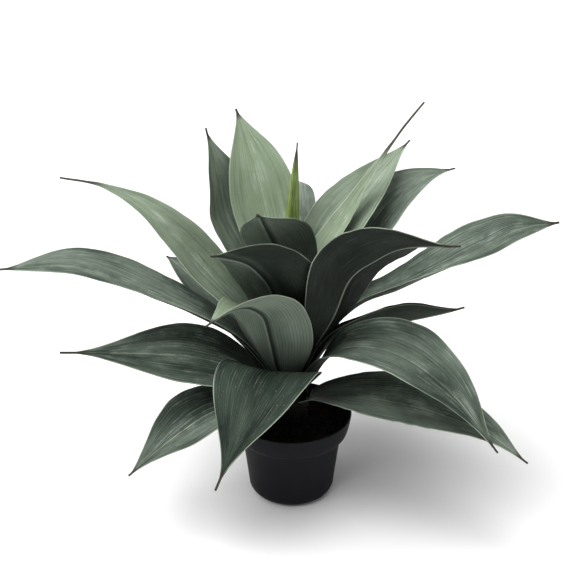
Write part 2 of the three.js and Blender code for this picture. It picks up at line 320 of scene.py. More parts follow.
def crumb(ball, relief):
    """The points of a ball made into one lumpy crumb, lying somewhere on the ground."""
    size = soil_random.uniform(*CRUMB_SIZES) * MM
    shape = soil_random.uniform(*CRUMB_STRETCH, 3) * size
    turn = soil_random.uniform(0, math.pi)
    reach = math.sqrt(soil_random.uniform(CRUMB_NEAREST ** 2, CRUMB_FARTHEST ** 2))
    angle = soil_random.uniform(0, 2 * math.pi)
    lumps = ball * (1 + soil_random.uniform(-CRUMB_LUMPS, CRUMB_LUMPS, (len(ball), 1))) * shape
    cx, cy = reach * math.cos(angle), reach * math.sin(angle)
    cz = float(soil_top(np.array(cx), np.array(cy), relief)) + shape[2] * CRUMB_RISE
    return [(cx + px * math.cos(turn) - py * math.sin(turn),
             cy + px * math.sin(turn) + py * math.cos(turn), cz + pz) for px, py, pz in lumps]


def soil_mesh():
    """A ring of rough ground from the stem's hole out to the wall, with lumpy crumbs scattered on it."""
    relief = ripples(soil_random, SOIL_WAVES, *SOIL_WAVE_LENGTHS)
    reaches = np.linspace(SOIL_HOLE, SOIL_REACH, SOIL_RINGS)
    angles = np.arange(SOIL_SIDES) * 2 * math.pi / SOIL_SIDES
    reach, angle = np.meshgrid(reaches, angles, indexing="ij")
    x, y = reach * np.cos(angle), reach * np.sin(angle)
    points = [*np.stack([x, y, soil_top(x, y, relief)], -1).reshape(-1, 3)]
    faces = []
    for ring in range(SOIL_RINGS - 1):
        low, high = ring * SOIL_SIDES, (ring + 1) * SOIL_SIDES
        for side in range(SOIL_SIDES):
            after = (side + 1) % SOIL_SIDES
            faces.append((low + side, high + side, high + after, low + after))
    ball_points, ball_faces = turned(CRUMB_OUTLINE, CRUMB_SIDES)
    ball = np.array(ball_points)
    for _ in range(CRUMBS):
        first = len(points)
        points += crumb(ball, relief)
        faces += [tuple(first + corner for corner in face) for face in ball_faces]
    return points, faces


soil = mesh_piece("potting_soil", *soil_mesh(), soil_mix())
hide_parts("soil")
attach(soil, "root")

# Stem
# One short, thick, woody stem stands in the soil. The rings and ridges on it are the scars and torn
# stubs of leaves that have gone, and the leaves that are left grow from its upper part.

STEM_RADIUS = 18 * MM
STEM_TIP_RADIUS = 8 * MM
STEM_FOOT = 74 * MM
STEM_SHOULDER = 145 * MM
STEM_TOP = 202 * MM
STEM_SIDES = 96
STEM_RINGS = 150

# One scar winds up the stem, a turn to each spacing, and wanders by a sum of waves round the stem. Each turn
# flares out on its way up, and its uppermost part is torn into stubs.
SCAR_SPACING = 7.5 * MM
SCAR_DEPTH = 1.1 * MM
SCAR_CURVE = 1.6
SCAR_WANDER = 0.35
SCAR_WAVES = (1, 2, 3, 5)
SCAR_WAVE_HEIGHTS = (0.2, 0.5)
SCAR_WAVE_STARTS = (0, 6)
TORN_STUBS = 17
TORN_WANDER = 40
TORN_FROM = 0.75
TORN_HEIGHT = 0.15
stem_random = np.random.default_rng(5)

# The bark's near-black colour is partly its own and partly painted shade from the leaves above.
BARK_DARK = (0.003, 0.0035, 0.003, 1)
BARK_LIGHT = (0.009, 0.008, 0.006, 1)
STRAND_COLOUR = (0.022, 0.018, 0.013, 1)
BARK_SHEEN = 0.1


def stem_bark():
    """Dark blotched bark, painted darker still for the shade under the leaves, with dry strands up it."""
    material, tree, shader, place = surface("stem_bark")
    blotch = noise(tree, place, scale=70.0, detail=5.0, roughness=0.6)
    upright = stretched(tree, place, across=1.0, along=1.0, up=0.12)
    strands = noise(tree, upright, scale=900.0, detail=4.0, roughness=0.6)
    colour = blend_colour(tree, span(tree, blotch, 0.35, 0.65), BARK_DARK, BARK_LIGHT)
    colour = blend_colour(tree, span(tree, strands, 0.55, 0.75, to=(0.0, 0.4)), colour, STRAND_COLOUR)
    tree.links.new(colour, shader.inputs["Base Color"])
    tree.links.new(span(tree, strands, 0.3, 0.7, to=(0.65, 0.9)), shader.inputs["Roughness"])
    shader.inputs["Specular IOR Level"].default_value = BARK_SHEEN
    relief = bump(tree, strands, distance=0.6 * MM, strength=0.8)
    relief = bump(tree, blotch, distance=1.2 * MM, strength=0.5, under=relief)
    tree.links.new(relief, shader.inputs["Normal"])
    return material


def stem_radius(height):
    """The stem's outer radius at a height: even up to its shoulder, and tapered above."""
    above = np.clip((height - STEM_SHOULDER) / (STEM_TOP - STEM_SHOULDER), 0, 1)
    return STEM_RADIUS + (STEM_TIP_RADIUS - STEM_RADIUS) * above


def stem_mesh():
    """A tapered column cut by one long scar that winds up it, each turn ending in a torn edge."""
    heights = np.linspace(STEM_FOOT, STEM_TOP, STEM_RINGS)
    angles = np.arange(STEM_SIDES) * 2 * math.pi / STEM_SIDES
    height, angle = np.meshgrid(heights, angles, indexing="ij")
    wander = 0
    for waves in SCAR_WAVES:
        wave_height = stem_random.uniform(*SCAR_WAVE_HEIGHTS)
        wander = wander + wave_height * np.sin(waves * angle + stem_random.uniform(*SCAR_WAVE_STARTS))
    scar = (height / SCAR_SPACING + SCAR_WANDER * wander + angle / (2 * math.pi)) % 1.0
    torn = TORN_HEIGHT * np.sin(TORN_STUBS * angle + TORN_WANDER * wander) * (scar > TORN_FROM)
    radius = stem_radius(height) - SCAR_DEPTH * (1 - scar ** SCAR_CURVE - torn)
    rings = np.stack([radius * np.cos(angle), radius * np.sin(angle), height], -1)
    return capped_tube((0, 0, STEM_FOOT), rings, (0, 0, STEM_TOP))


stem = mesh_piece("woody_stem", *stem_mesh(), stem_bark())
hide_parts("stem")
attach(stem, "root")

# Leaves
# Each leaf is one broad waxy blade with a pale midrib, fine ribs along its length, a thin pale margin
# and a dark hard tip. A bloom greys it above, its underside is painted nearly black where shade falls, and
# its base, painted in shade, grips the stem.

CLEARANCE = 0.3 * MM
MIDDLE_THICKNESS = 2 * MM
EDGE_THICKNESS = 0.7 * MM
EDGE_ROUNDING = 0.3 * MM
TIP_WIDTH = 2.2 * MM
SPINE_STEPS = 40
LEAF_ROWS = 72
POINTS_PER_RIB = 4
LOWEST_HIGH_LEAF = 14
LEAF_SEED = 100

# A greater widening keeps the blade narrow for longer above its base. The waves of one margin lead those of
# the other by a part of a wave. The fold sets in over a share of the half width beside the midrib.
WIDENING = 1.2
WAVE_LEAD = 0.35
FOLD_SHARE = 1 / 6

# The blade's relief. The ribs of the darkest leaf are the highest, and a leaf's light is taken off them.
# They fade out over a share of the half width at each margin, and with the ridges over a share of the
# length at the base and at the tip. The valley runs beside the keel below.
RIB_SPACING = 3.3 * MM
RIB_RELIEF = 0.15 * MM
RIB_DARKEST = 1.1
RIB_NARROWING = 1.3
RIB_FADE = 0.08
UNDERSIDE_RIBS = 0.6
BASE_FADE = 0.1
TIP_FADE = 0.08
MIDRIB_GROOVE = 0.5 * MM
MIDRIB_SHARE = 0.035
KEEL_HEIGHT = 0.6 * MM
VALLEY_DEPTH = 0.55 * MM
VALLEY_PLACE = 0.1
VALLEY_SPREAD = 0.055
SWELL = 0.55 * MM
SWELL_WAVES = 9
SWELL_LENGTHS = (14 * MM, 60 * MM)
SWELL_AT_MIDRIB = 0.3

# The margins wander in and out by waves that are shares of the leaf's length, each margin in its own way.
MARGIN_WANDER = 0.35 * MM
MARGIN_WAVES = 7
MARGIN_LENGTHS = (0.12, 0.5)
MARGINS_APART = 3.0

# Angles are in degrees, as [at the base, halfway, at the tip]: fold raises both halves of the blade from
# the midrib, curl rounds each half, roll turns the whole blade. light, from 0 to 1, is how pale the leaf is
# painted: partly its own tone and partly painted light and shade, low for leaves deep in shade.
COMMON = {
    "base": 20, "widest": 0.5, "taper": 1.5, "light": 0.3,
    "fold": [4, 14, 20], "curl": [28, 12, 10], "roll": [0, 0, 0], "wave": [0, 2, 0],
}

# One entry for each leaf, from the lowest seat up, in millimetres. facing is the angle round the stem that
# it points to, from +X towards +Y; seat is the height of its base on the stem; spine lists points of its
# midrib as [distance from the stem's axis, height]; base is its width at the stem; width is its greatest
# width, and widest is how far along the blade that is; a greater taper draws the tip in sooner; wave is the
# margin waves' height, number and start.
LEAVES = [
    {"facing": 100, "seat": 108, "width": 90, "spine": [[58, 146], [110, 158], [165, 142], [215, 104]]},
    {"facing": 213, "seat": 111, "width": 70, "roll": [0, -12, -5], "wave": [2.5, 2, 0.1],
     "spine": [[50, 125], [99, 126], [143, 112], [198, 84]]},
    {"facing": 332, "seat": 115, "width": 86, "base": 34, "widest": 0.42, "fold": [4, 8, 20],
     "roll": [0, 8, 5], "light": 0.56,
     "spine": [[38, 126], [69, 134], [112, 139], [160, 140], [220, 132], [266, 110]]},
    {"facing": 128, "seat": 118, "width": 80, "spine": [[55, 156], [110, 174], [165, 168], [215, 140]]},
    {"facing": 192, "seat": 122, "width": 80, "widest": 0.36, "taper": 2.3, "fold": [4, 5, 20],
     "roll": [0, -32, -45], "light": 0.26,
     "spine": [[40, 143], [66, 159], [108, 175], [150, 183], [199, 190], [242, 195]]},
    {"facing": 66, "seat": 124, "width": 84, "spine": [[55, 170], [110, 189], [170, 183], [222, 150]]},
    {"facing": 247, "seat": 127, "width": 108, "base": 30, "widest": 0.3, "taper": 2.2, "fold": [3, 3, 15],
     "curl": [28, 4, 10], "roll": [0, 5, 0], "light": 0.0,
     "spine": [[36, 157], [60, 175], [90, 170], [124, 149], [190, 112]]},
    {"facing": 328, "seat": 131, "width": 80, "base": 21, "taper": 1.6, "roll": [-4, 15, 0], "light": 0.42,
     "spine": [[40, 170], [62, 190], [98, 201], [140, 198], [190, 172], [240, 124]]},
    {"facing": 145, "seat": 132, "width": 76, "widest": 0.6, "taper": 1.1, "light": 0.5,
     "spine": [[50, 168], [95, 198], [135, 220], [168, 236]]},
    {"facing": 180, "seat": 140, "width": 76, "taper": 1.45, "roll": [0, 4, -40], "light": 0.55,
     "spine": [[54, 184], [96, 211], [140, 233], [197, 259], [238, 269], [301, 265]]},
    {"facing": 98, "seat": 144, "width": 88, "spine": [[48, 196], [95, 230], [152, 238], [205, 212]]},
    {"facing": 237, "seat": 145, "width": 92, "base": 40, "widest": 0.34, "taper": 1.6, "fold": [4, 16, 20],
     "curl": [36, 12, 10], "roll": [0, 14, 20], "light": 1,
     "spine": [[32, 168], [43, 202], [56, 234], [84, 256], [119, 265], [151, 265]]},
    {"facing": 7, "seat": 145, "width": 46, "base": 12, "widest": 0.6, "taper": 1.9, "fold": [4, 42, 60],
     "roll": [0, -28, 0], "light": 0.2,
     "spine": [[45, 181], [85, 192], [120, 198], [156, 204], [185, 210]]},
    {"facing": 315, "seat": 152, "width": 86, "base": 12, "widest": 0.6, "taper": 2.1, "fold": [4, 20, 14],
     "curl": [28, 8, 8], "roll": [0, -31, -30], "light": 0.05,
     "spine": [[32, 185], [59, 232], [80, 281], [112, 312], [150, 338], [213, 359]]},
    {"facing": 163, "seat": 159, "width": 54, "base": 16, "widest": 0.42, "taper": 2.6,
     "fold": [4, 22, 35], "roll": [0, -28, -10], "light": 0.91,
     "spine": [[40, 196], [62, 219], [97, 253], [125, 283], [164, 315], [213, 334], [256, 337]]},
    {"facing": 117, "seat": 161, "width": 56, "base": 12, "light": 0.5,
     "spine": [[40, 208], [80, 243], [125, 262], [180, 256]]},
    {"facing": 240, "seat": 164, "width": 104, "base": 24, "widest": 0.4, "taper": 1.2, "fold": [4, 16, 20],
     "roll": [0, 16, 28], "light": 0.5,
     "spine": [[23, 222], [41, 256], [60, 281], [95, 311], [151, 340]]},
    {"facing": 8, "seat": 166, "width": 80, "widest": 0.6, "roll": [0, -10, 55], "light": 0.37,
     "spine": [[68, 218], [114, 236], [163, 258], [205, 279], [236, 295], [282, 301]]},
    {"facing": 56, "seat": 169, "width": 64, "base": 15, "light": 0.5,
     "spine": [[50, 218], [100, 250], [150, 262], [200, 252]]},
    {"facing": 42, "seat": 173, "width": 70, "roll": [0, 8, 10], "light": 0.76,
     "spine": [[50, 231], [84, 258], [128, 292], [151, 305], [176, 312], [206, 315], [247, 313]]},
    {"facing": 88, "seat": 181, "width": 47, "base": 16, "widest": 0.6, "taper": 1.2, "fold": [4, -4, -6],
     "curl": [28, -12, -14], "light": 0.75,
     "spine": [[40, 232], [72, 269], [108, 292], [142, 302], [172, 294], [190, 272]]},
    {"facing": 144, "seat": 186, "width": 84, "base": 16, "widest": 0.6, "taper": 1.8, "light": 0.86,
     "spine": [[33, 236], [61, 269], [86, 306], [95, 342], [110, 396]]},
    {"facing": 245, "seat": 187, "width": 88, "widest": 0.58, "taper": 1.2, "fold": [4, 28, 20],
     "roll": [0, 20, 15], "light": 0.9,
     "spine": [[16, 240], [29, 285], [50, 316], [66, 337], [80, 357]]},
    {"facing": 48, "seat": 188, "width": 72, "roll": [0, 5, 0], "light": 0.89,
     "spine": [[35, 240], [60, 277], [93, 301], [134, 323], [168, 341], [194, 354]]},
    {"facing": 40, "seat": 193, "width": 35, "base": 15, "widest": 0.3, "taper": 3.4, "fold": [4, 25, 40],
     "light": 0.95,
     "spine": [[24, 240], [45, 272], [82, 309], [113, 344], [149, 380], [184, 406]]},
    {"facing": 120, "seat": 198, "width": 73, "base": 16, "widest": 0.58,
     "roll": [0, -25, -10], "light": 1,
     "spine": [[32, 270], [52, 308], [73, 348], [98, 380], [118, 404]]},
]


def through(stops, t):
    """The value at t, from 0 to 1, of the parabola through three values at 0, a half and 1."""
    base, middle, tip = stops
    return base * (1 - t) * (1 - 2 * t) + 4 * middle * t * (1 - t) + tip * t * (2 * t - 1)


def spine_curve(leaf, rows):
    """Evenly spaced points of the midrib, its direction at each and its length."""
    angle = math.radians(leaf["facing"])
    outward = np.array([math.cos(angle), math.sin(angle), 0])
    seat = leaf["seat"] * MM
    stops = [(stem_radius(seat) + CLEARANCE + MIDDLE_THICKNESS / 2, seat)]
    stops += [(reach * MM, height * MM) for reach, height in leaf["spine"]]
    points = np.array([outward * reach + np.array([0, 0, height]) for reach, height in stops])
    before, after = 2 * points[0] - points[1], 2 * points[-1] - points[-2]
    padded = np.vstack([before, points, after])
    steps = np.linspace(0, 1, SPINE_STEPS + 1)[:, None]
    course = []
    for p0, p1, p2, p3 in zip(padded, padded[1:], padded[2:], padded[3:]):
        start, end = (p2 - p0) / 2, (p3 - p1) / 2
        cubic = (2 * p1 - 2 * p2 + start + end) * steps ** 3
        square = (-3 * p1 + 3 * p2 - 2 * start - end) * steps ** 2
        course.append((cubic + square + start * steps + p1)[:-1])
    course = np.vstack([*course, points[-1:]])
    lengths = np.concatenate([[0], np.cumsum(np.linalg.norm(np.diff(course, axis=0), axis=1))])
    even = np.linspace(0, lengths[-1], rows + 1)
    centres = np.stack([np.interp(even, lengths, course[:, k]) for k in range(3)], -1)
    tangents = np.gradient(centres, axis=0)
    tangents /= np.linalg.norm(tangents, axis=1)[:, None]
    return centres, tangents, lengths[-1]


def half_width(leaf, t):
    """Half of the blade's width at t, from 0 at its base to 1 at its tip."""
    base, width = leaf["base"] * MM, leaf["width"] * MM
    rise = np.sin((math.pi / 2) * np.clip(t / leaf["widest"], 0, 1)) ** WIDENING
    past = np.clip((t - leaf["widest"]) / (1 - leaf["widest"]), 0, 1)
    narrowing = np.maximum(TIP_WIDTH, width * (1 - past ** 2) ** leaf["taper"])
    return np.where(t < leaf["widest"], base + (width - base) * rise, narrowing) / 2


def blade_sheet(leaf, random, t, across):
    """The middle of the blade's thickness: its points, the directions square to them, the half width at
    each, the leaf's sideways direction in each row and its length."""
    centres, tangents, length = spine_curve(leaf, LEAF_ROWS)
    angle = math.radians(leaf["facing"])
    left = np.array([-math.sin(angle), math.cos(angle), 0])
    side = left - (tangents @ left)[:, None] * tangents
    side /= np.linalg.norm(side, axis=1)[:, None]
    face = np.cross(tangents, side)
    roll = np.radians(through(leaf["roll"], t))
    side, face = side * np.cos(roll) + face * np.sin(roll), face * np.cos(roll) - side * np.sin(roll)
    fold = np.radians(through(leaf["fold"], t))
    curl = np.radians(through(leaf["curl"], t))
    away, hand = np.abs(across), np.sign(across)
    off_ends = np.sin(math.pi * t)
    wander = ripples(random, MARGIN_WAVES, *MARGIN_LENGTHS)(t + 0 * across, hand * MARGINS_APART)
    width = half_width(leaf, t) + MARGIN_WANDER * wander * off_ends * away
    out = width * (np.sin(fold + curl * away) - np.sin(fold)) / curl
    rise = width * (np.cos(fold) - np.cos(fold + curl * away)) / curl
    wave_height, waves, phase = leaf["wave"]
    turn = 2 * math.pi * (waves * t + phase + np.where(across > 0, WAVE_LEAD, 0))
    rise = rise + wave_height * MM * away ** 2 * off_ends * np.sin(turn)
    swell = ripples(random, SWELL_WAVES, *SWELL_LENGTHS)(across * width, t * length)
    rise = rise + SWELL * swell * off_ends * (SWELL_AT_MIDRIB + (1 - SWELL_AT_MIDRIB) * away)
    lean = fold * np.minimum(1, away / FOLD_SHARE) + curl * away
    middle = centres[:, None] + side[:, None] * (hand * out)[..., None] + face[:, None] * rise[..., None]
    normal = face[:, None] * np.cos(lean)[..., None] - side[:, None] * (hand * np.sin(lean))[..., None]
    return middle, normal, width, side, length


def blade_rings(leaf, ribs, t, across, middle, normal, width, side):
    """Rings of points round the blade: the upper face, one edge, the underside and the other edge. The
    ribs are lower on a paler leaf and where the blade narrows."""
    away = np.abs(across)
    fade = np.clip(t / BASE_FADE, 0, 1) * np.clip((1 - t) / TIP_FADE, 0, 1)
    narrowing = np.minimum(1, width / (leaf["width"] * MM / 2) * RIB_NARROWING)
    rib_height = RIB_RELIEF * (RIB_DARKEST - leaf["light"]) * fade * narrowing
    rib = -np.cos(2 * math.pi * away * ribs) * rib_height * np.clip((1 - away) / RIB_FADE, 0, 1)
    ridge = np.exp(-(away / MIDRIB_SHARE) ** 2)
    valley = np.exp(-((across - VALLEY_PLACE) / VALLEY_SPREAD) ** 2)
    keel = (KEEL_HEIGHT * ridge - VALLEY_DEPTH * valley) * fade
    half = (MIDDLE_THICKNESS + (EDGE_THICKNESS - MIDDLE_THICKNESS) * away) / 2
    upper = middle + normal * (half + rib - MIDRIB_GROOVE * ridge * fade)[..., None]
    lower = middle - normal * (half - rib * UNDERSIDE_RIBS + keel)[..., None]
    outward = np.sign(across[:, [0, -1]])[..., None] * side[:, None]
    edges = middle[:, [0, -1]] + outward * EDGE_ROUNDING
    return np.concatenate([upper, edges[:, 1:], lower[:, ::-1], edges[:, :1]], axis=1)


def blade_faces(columns, per_ring):
    """The faces between one ring and the next, and those that close the base and the tip."""
    corner = np.arange(LEAF_ROWS * per_ring).reshape(LEAF_ROWS, per_ring)
    beside = np.roll(corner, -1, axis=1)
    faces = np.stack([corner, corner + per_ring, beside + per_ring, beside], -1).reshape(-1, 4).tolist()
    tip = LEAF_ROWS * per_ring
    lower_start, lower_end = columns + 2, 2 * columns + 2
    for near in range(columns):
        far = lower_end - near
        faces.append([near, near + 1, far - 1, far])
        faces.append([tip + near + 1, tip + near, tip + far, tip + far - 1])
    faces.append([columns, columns + 1, lower_start])
    faces.append([tip + columns + 1, tip + columns, tip + lower_start])
    faces.append([lower_end, lower_end + 1, 0])
    faces.append([tip + lower_end + 1, tip + lower_end, tip])
    return faces


def tell(piece, name, values):
    """Stores three numbers with each point of a piece, for its material to read."""
    layer = piece.data.attributes.new(name, "FLOAT_VECTOR", "POINT")
    layer.data.foreach_set("vector", values.ravel())


# The upper face tells the skin 1 and the underside 0, and an edge tells it a number between. The grain step
# takes each leaf's marks from another place in the noise.
EDGE_AS_UPPER = 0.7
LEAF_GRAIN_STEP = 0.37


def leaf_mesh(name, leaf, number, material):
    """The whole blade as one closed sheet, with its ribs, midrib, swells and what the material reads."""
    ribs = round(leaf["width"] * MM / 2 / RIB_SPACING)
    columns = 2 * ribs * POINTS_PER_RIB
    t = np.linspace(0, 1, LEAF_ROWS + 1)[:, None]
    across = np.linspace(-1, 1, columns + 1)[None, :]
    random = np.random.default_rng(LEAF_SEED + number)
    *sheet, length = blade_sheet(leaf, random, t, across)
    rings = blade_rings(leaf, ribs, t, across, *sheet)
    per_ring = rings.shape[1]
    piece = mesh_piece(name, rings.reshape(-1, 3), blade_faces(columns, per_ring), material)
    ring_across = np.concatenate([across[0], [1], across[0][::-1], [-1]])
    edge = [EDGE_AS_UPPER]
    ring_upper = np.concatenate([np.ones(columns + 1), edge, np.zeros(columns + 1), edge])
    told = {
        "blade": (np.abs(ring_across), t, ring_upper),
        "grain": (ring_across * leaf["width"] * MM / 2, t * length, number * LEAF_GRAIN_STEP),
        "paint": (np.abs(ring_across) * ribs, leaf["light"], half_width(leaf, t)),
    }
    for attribute, channels in told.items():
        values = np.zeros((LEAF_ROWS + 1, per_ring, 3), np.float32)
        for channel, value in enumerate(channels):
            values[..., channel] = value
        tell(piece, attribute, values)
    return piece


# Each face is mottled with a pair of colours. The upper face goes from the dark pair through the blue to
# the green as the leaf's light rises, partly its own tone and partly painted shade and light. The underside
# goes from the painted shadowed pair to the painted lit one.
DARK_FACE = ((0.007, 0.013, 0.0085, 1), (0.041, 0.061, 0.045, 1))
BLUE_FACE = ((0.080, 0.110, 0.084, 1), (0.290, 0.352, 0.284, 1))
GREEN_FACE = ((0.212, 0.277, 0.182, 1), (0.268, 0.336, 0.223, 1))
SHADOWED_UNDERSIDE = ((0.003, 0.004, 0.0036, 1), (0.012, 0.016, 0.0135, 1))
LIT_UNDERSIDE = ((0.105, 0.137, 0.103, 1), (0.205, 0.250, 0.196, 1))

BLOOM_COLOUR = (0.33, 0.38, 0.33, 1)
STREAK_COLOUR = (0.012, 0.018, 0.014, 1)
HAIR_COLOUR = (0.014, 0.020, 0.016, 1)
GROOVE_SHADE_COLOUR = (0.010, 0.015, 0.012, 1)
CREST_HIGHLIGHT = (0.32, 0.37, 0.32, 1)
SCUFF_COLOUR = (0.46, 0.52, 0.45, 1)
FLECK_COLOUR = (0.42, 0.47, 0.42, 1)
MIDRIB_COLOUR = (0.34, 0.40, 0.30, 1)
UNDERSIDE_STREAK = (0.095, 0.112, 0.094, 1)
SCRATCH_COLOUR = (0.22, 0.25, 0.22, 1)
UNDERSIDE_GROOVE_SHADE = (0.010, 0.013, 0.011, 1)
CREASE_SHADOW_COLOUR = (0.004, 0.005, 0.005, 1)
KEEL_HIGHLIGHT = (0.19, 0.22, 0.18, 1)
HALF_SHADE_COLOUR = (0.007, 0.010, 0.008, 1)
BASE_SHADE_COLOUR = (0.006, 0.008, 0.007, 1)
MARGIN_COLOUR = (0.37, 0.42, 0.33, 1)
TIP_COLOUR = (0.030, 0.024, 0.019, 1)
LEAF_SHEEN = 0.08


def read_leaf(tree):
    """What a leaf's mesh tells its skin, distances in millimetres, and the noises that its marks need."""

    def told(name):
        vector = node(tree, "ShaderNodeAttribute", {"attribute_name": name}).outputs["Vector"]
        return vector, node(tree, "ShaderNodeSeparateXYZ", None, Vector=vector).outputs

    def along_leaf(stretch):
        return stretched(tree, skin.grain, across=1.0, along=stretch)

    skin = SimpleNamespace()
    _, (skin.away, skin.along, skin.upper) = told("blade")
    skin.grain, (side, _, _) = told("grain")
    _, (rib, skin.light, reach) = told("paint")
    skin.half_width = times(tree, reach, 1000.0)
    skin.from_midrib = times(tree, skin.away, skin.half_width)
    skin.to_one_side = times(tree, maths(tree, "SIGN", side), skin.from_midrib)
    skin.groove = maths(tree, "PINGPONG", rib, 0.5)
    skin.ribbed = span(tree, skin.light, 0.15, 0.75, to=(1.0, 0.25))
    skin.patch = noise(tree, along_leaf(0.45), scale=26.0, detail=4.0, roughness=0.55)
    skin.streak = noise(tree, along_leaf(0.035), scale=330.0, detail=4.0, roughness=0.6)
    skin.thread = noise(tree, along_leaf(0.02), scale=1400.0, detail=3.0, roughness=0.6)
    skin.cloud = noise(tree, along_leaf(0.8), scale=60.0, detail=5.0, roughness=0.6)
    skin.mottle = span(tree, skin.patch, 0.3, 0.7)
    return skin


def upper_colour(tree, skin):
    """The upper face, dark to pale by the leaf's light, partly its own tone and partly painted shade, with
    its bloom, dark streaks, pale marks and midrib, painted shade in rib valleys and painted highlights on
    rib tops.
    """
    dark = blend_colour(tree, skin.mottle, *DARK_FACE)
    blue = blend_colour(tree, skin.mottle, *BLUE_FACE)
    green = blend_colour(tree, skin.mottle, *GREEN_FACE)
    pale = blend_colour(tree, span(tree, skin.light, 0.8, 0.98), blue, green)
    # Partly the leaf's own tone, partly painted shade: a leaf deep in shade gets a low light and a
    # near-black face.
    colour = blend_colour(tree, skin.light, dark, pale)
    bloom = times(tree, span(tree, skin.cloud, 0.42, 0.72), span(tree, skin.streak, 0.35, 0.75),
                  span(tree, skin.light, 0.0, 0.35, to=(0.15, 0.62)))
    colour = blend_colour(tree, bloom, colour, BLOOM_COLOUR)

    dark_marks = span(tree, skin.light, 0.7, 1.0, to=(1.0, 0.45))
    streaks = times(tree, span(tree, skin.streak, 0.3, 0.52, to=(0.42, 0.0)), dark_marks)
    colour = blend_colour(tree, streaks, colour, STREAK_COLOUR)
    hairs = times(tree, span(tree, skin.thread, 0.34, 0.47, to=(0.5, 0.0)),
                  span(tree, skin.patch, 0.4, 0.6, to=(1.0, 0.3)), dark_marks)
    colour = blend_colour(tree, hairs, colour, HAIR_COLOUR)

    # Painted shade: the rib valleys are darkened.
    groove_shade = times(tree, span(tree, skin.groove, 0.0, 0.22, to=(0.34, 0.0)), skin.ribbed,
                    span(tree, skin.cloud, 0.4, 0.62, to=(0.3, 1.0)))
    colour = blend_colour(tree, groove_shade, colour, GROOVE_SHADE_COLOUR)
    # Painted highlight: the rib tops are lightened in patches.
    crest_highlight = times(tree, span(tree, skin.groove, 0.36, 0.5),
                   span(tree, skin.thread, 0.52, 0.68, to=(0.0, 0.5)))
    colour = blend_colour(tree, crest_highlight, colour, CREST_HIGHLIGHT)

    scuffs = times(tree, span(tree, skin.from_midrib, 2.0, 14.0, to=(1.0, 0.0)),
                   span(tree, skin.thread, 0.52, 0.62, to=(0.0, 0.75)),
                   span(tree, skin.cloud, 0.38, 0.6), skin.light)
    colour = blend_colour(tree, scuffs, colour, SCUFF_COLOUR)
    flecks = span(tree, noise(tree, skin.grain, scale=620.0, detail=1.0), 0.74, 0.78, to=(0.0, 0.55))
    colour = blend_colour(tree, flecks, colour, FLECK_COLOUR)

    midrib = times(tree, span(tree, skin.from_midrib, 0.35, 1.2, to=(0.62, 0.0)),
                   span(tree, skin.cloud, 0.35, 0.6, to=(0.25, 1.0)),
                   span(tree, skin.along, 0.1, 0.35),
                   span(tree, skin.light, 0.05, 0.3, to=(0.1, 1.0)))
    return blend_colour(tree, midrib, colour, MIDRIB_COLOUR)


def underside_colour(tree, skin):
    """The underside, painted from shaded to lit by the leaf's light, with pale lines, painted shade in its
    rib valleys and a painted highlight on its keel. On one side lie a painted shadow and painted shade on
    that half."""
    # Painted shade and painted light: shaded and lit copies of the underside's colour, mixed by the leaf's
    # light.
    shadowed = blend_colour(tree, skin.mottle, *SHADOWED_UNDERSIDE)
    lit = blend_colour(tree, skin.mottle, *LIT_UNDERSIDE)
    colour = blend_colour(tree, skin.light, shadowed, lit)
    streaks = times(tree, span(tree, skin.streak, 0.45, 0.8),
                    span(tree, skin.light, 0.0, 0.8, to=(0.06, 0.4)))
    colour = blend_colour(tree, streaks, colour, UNDERSIDE_STREAK)
    scratches = times(tree, span(tree, skin.thread, 0.52, 0.64),
                      span(tree, skin.light, 0.0, 0.6, to=(0.08, 0.45)),
                      span(tree, skin.cloud, 0.4, 0.62, to=(0.15, 1.0)))
    colour = blend_colour(tree, scratches, colour, SCRATCH_COLOUR)
    # Painted shade: the underside's rib valleys are darkened.
    colour = blend_colour(tree, span(tree, skin.groove, 0.0, 0.2, to=(0.35, 0.0)), colour, UNDERSIDE_GROOVE_SHADE)
    # Painted shadow: a dark band just beside the keel, on one side.
    crease_shadow = times(tree, span(tree, skin.to_one_side, 0.4, 1.6),
                   span(tree, skin.to_one_side, 2.2, 8.0, to=(0.8, 0.0)))
    colour = blend_colour(tree, crease_shadow, colour, CREASE_SHADOW_COLOUR)
    # Painted highlight: a pale line along the keel.
    colour = blend_colour(tree, span(tree, skin.from_midrib, 0.3, 1.1, to=(0.8, 0.0)), colour, KEEL_HIGHLIGHT)
    # Painted shade: the half of the blade on one side of the keel is darkened, less on the palest leaves.
    shaded_half = times(tree, span(tree, skin.to_one_side, 0.5, 12.0),
                     span(tree, skin.light, 0.8, 1.0, to=(0.8, 0.0)))
    return blend_colour(tree, shaded_half, colour, HALF_SHADE_COLOUR)


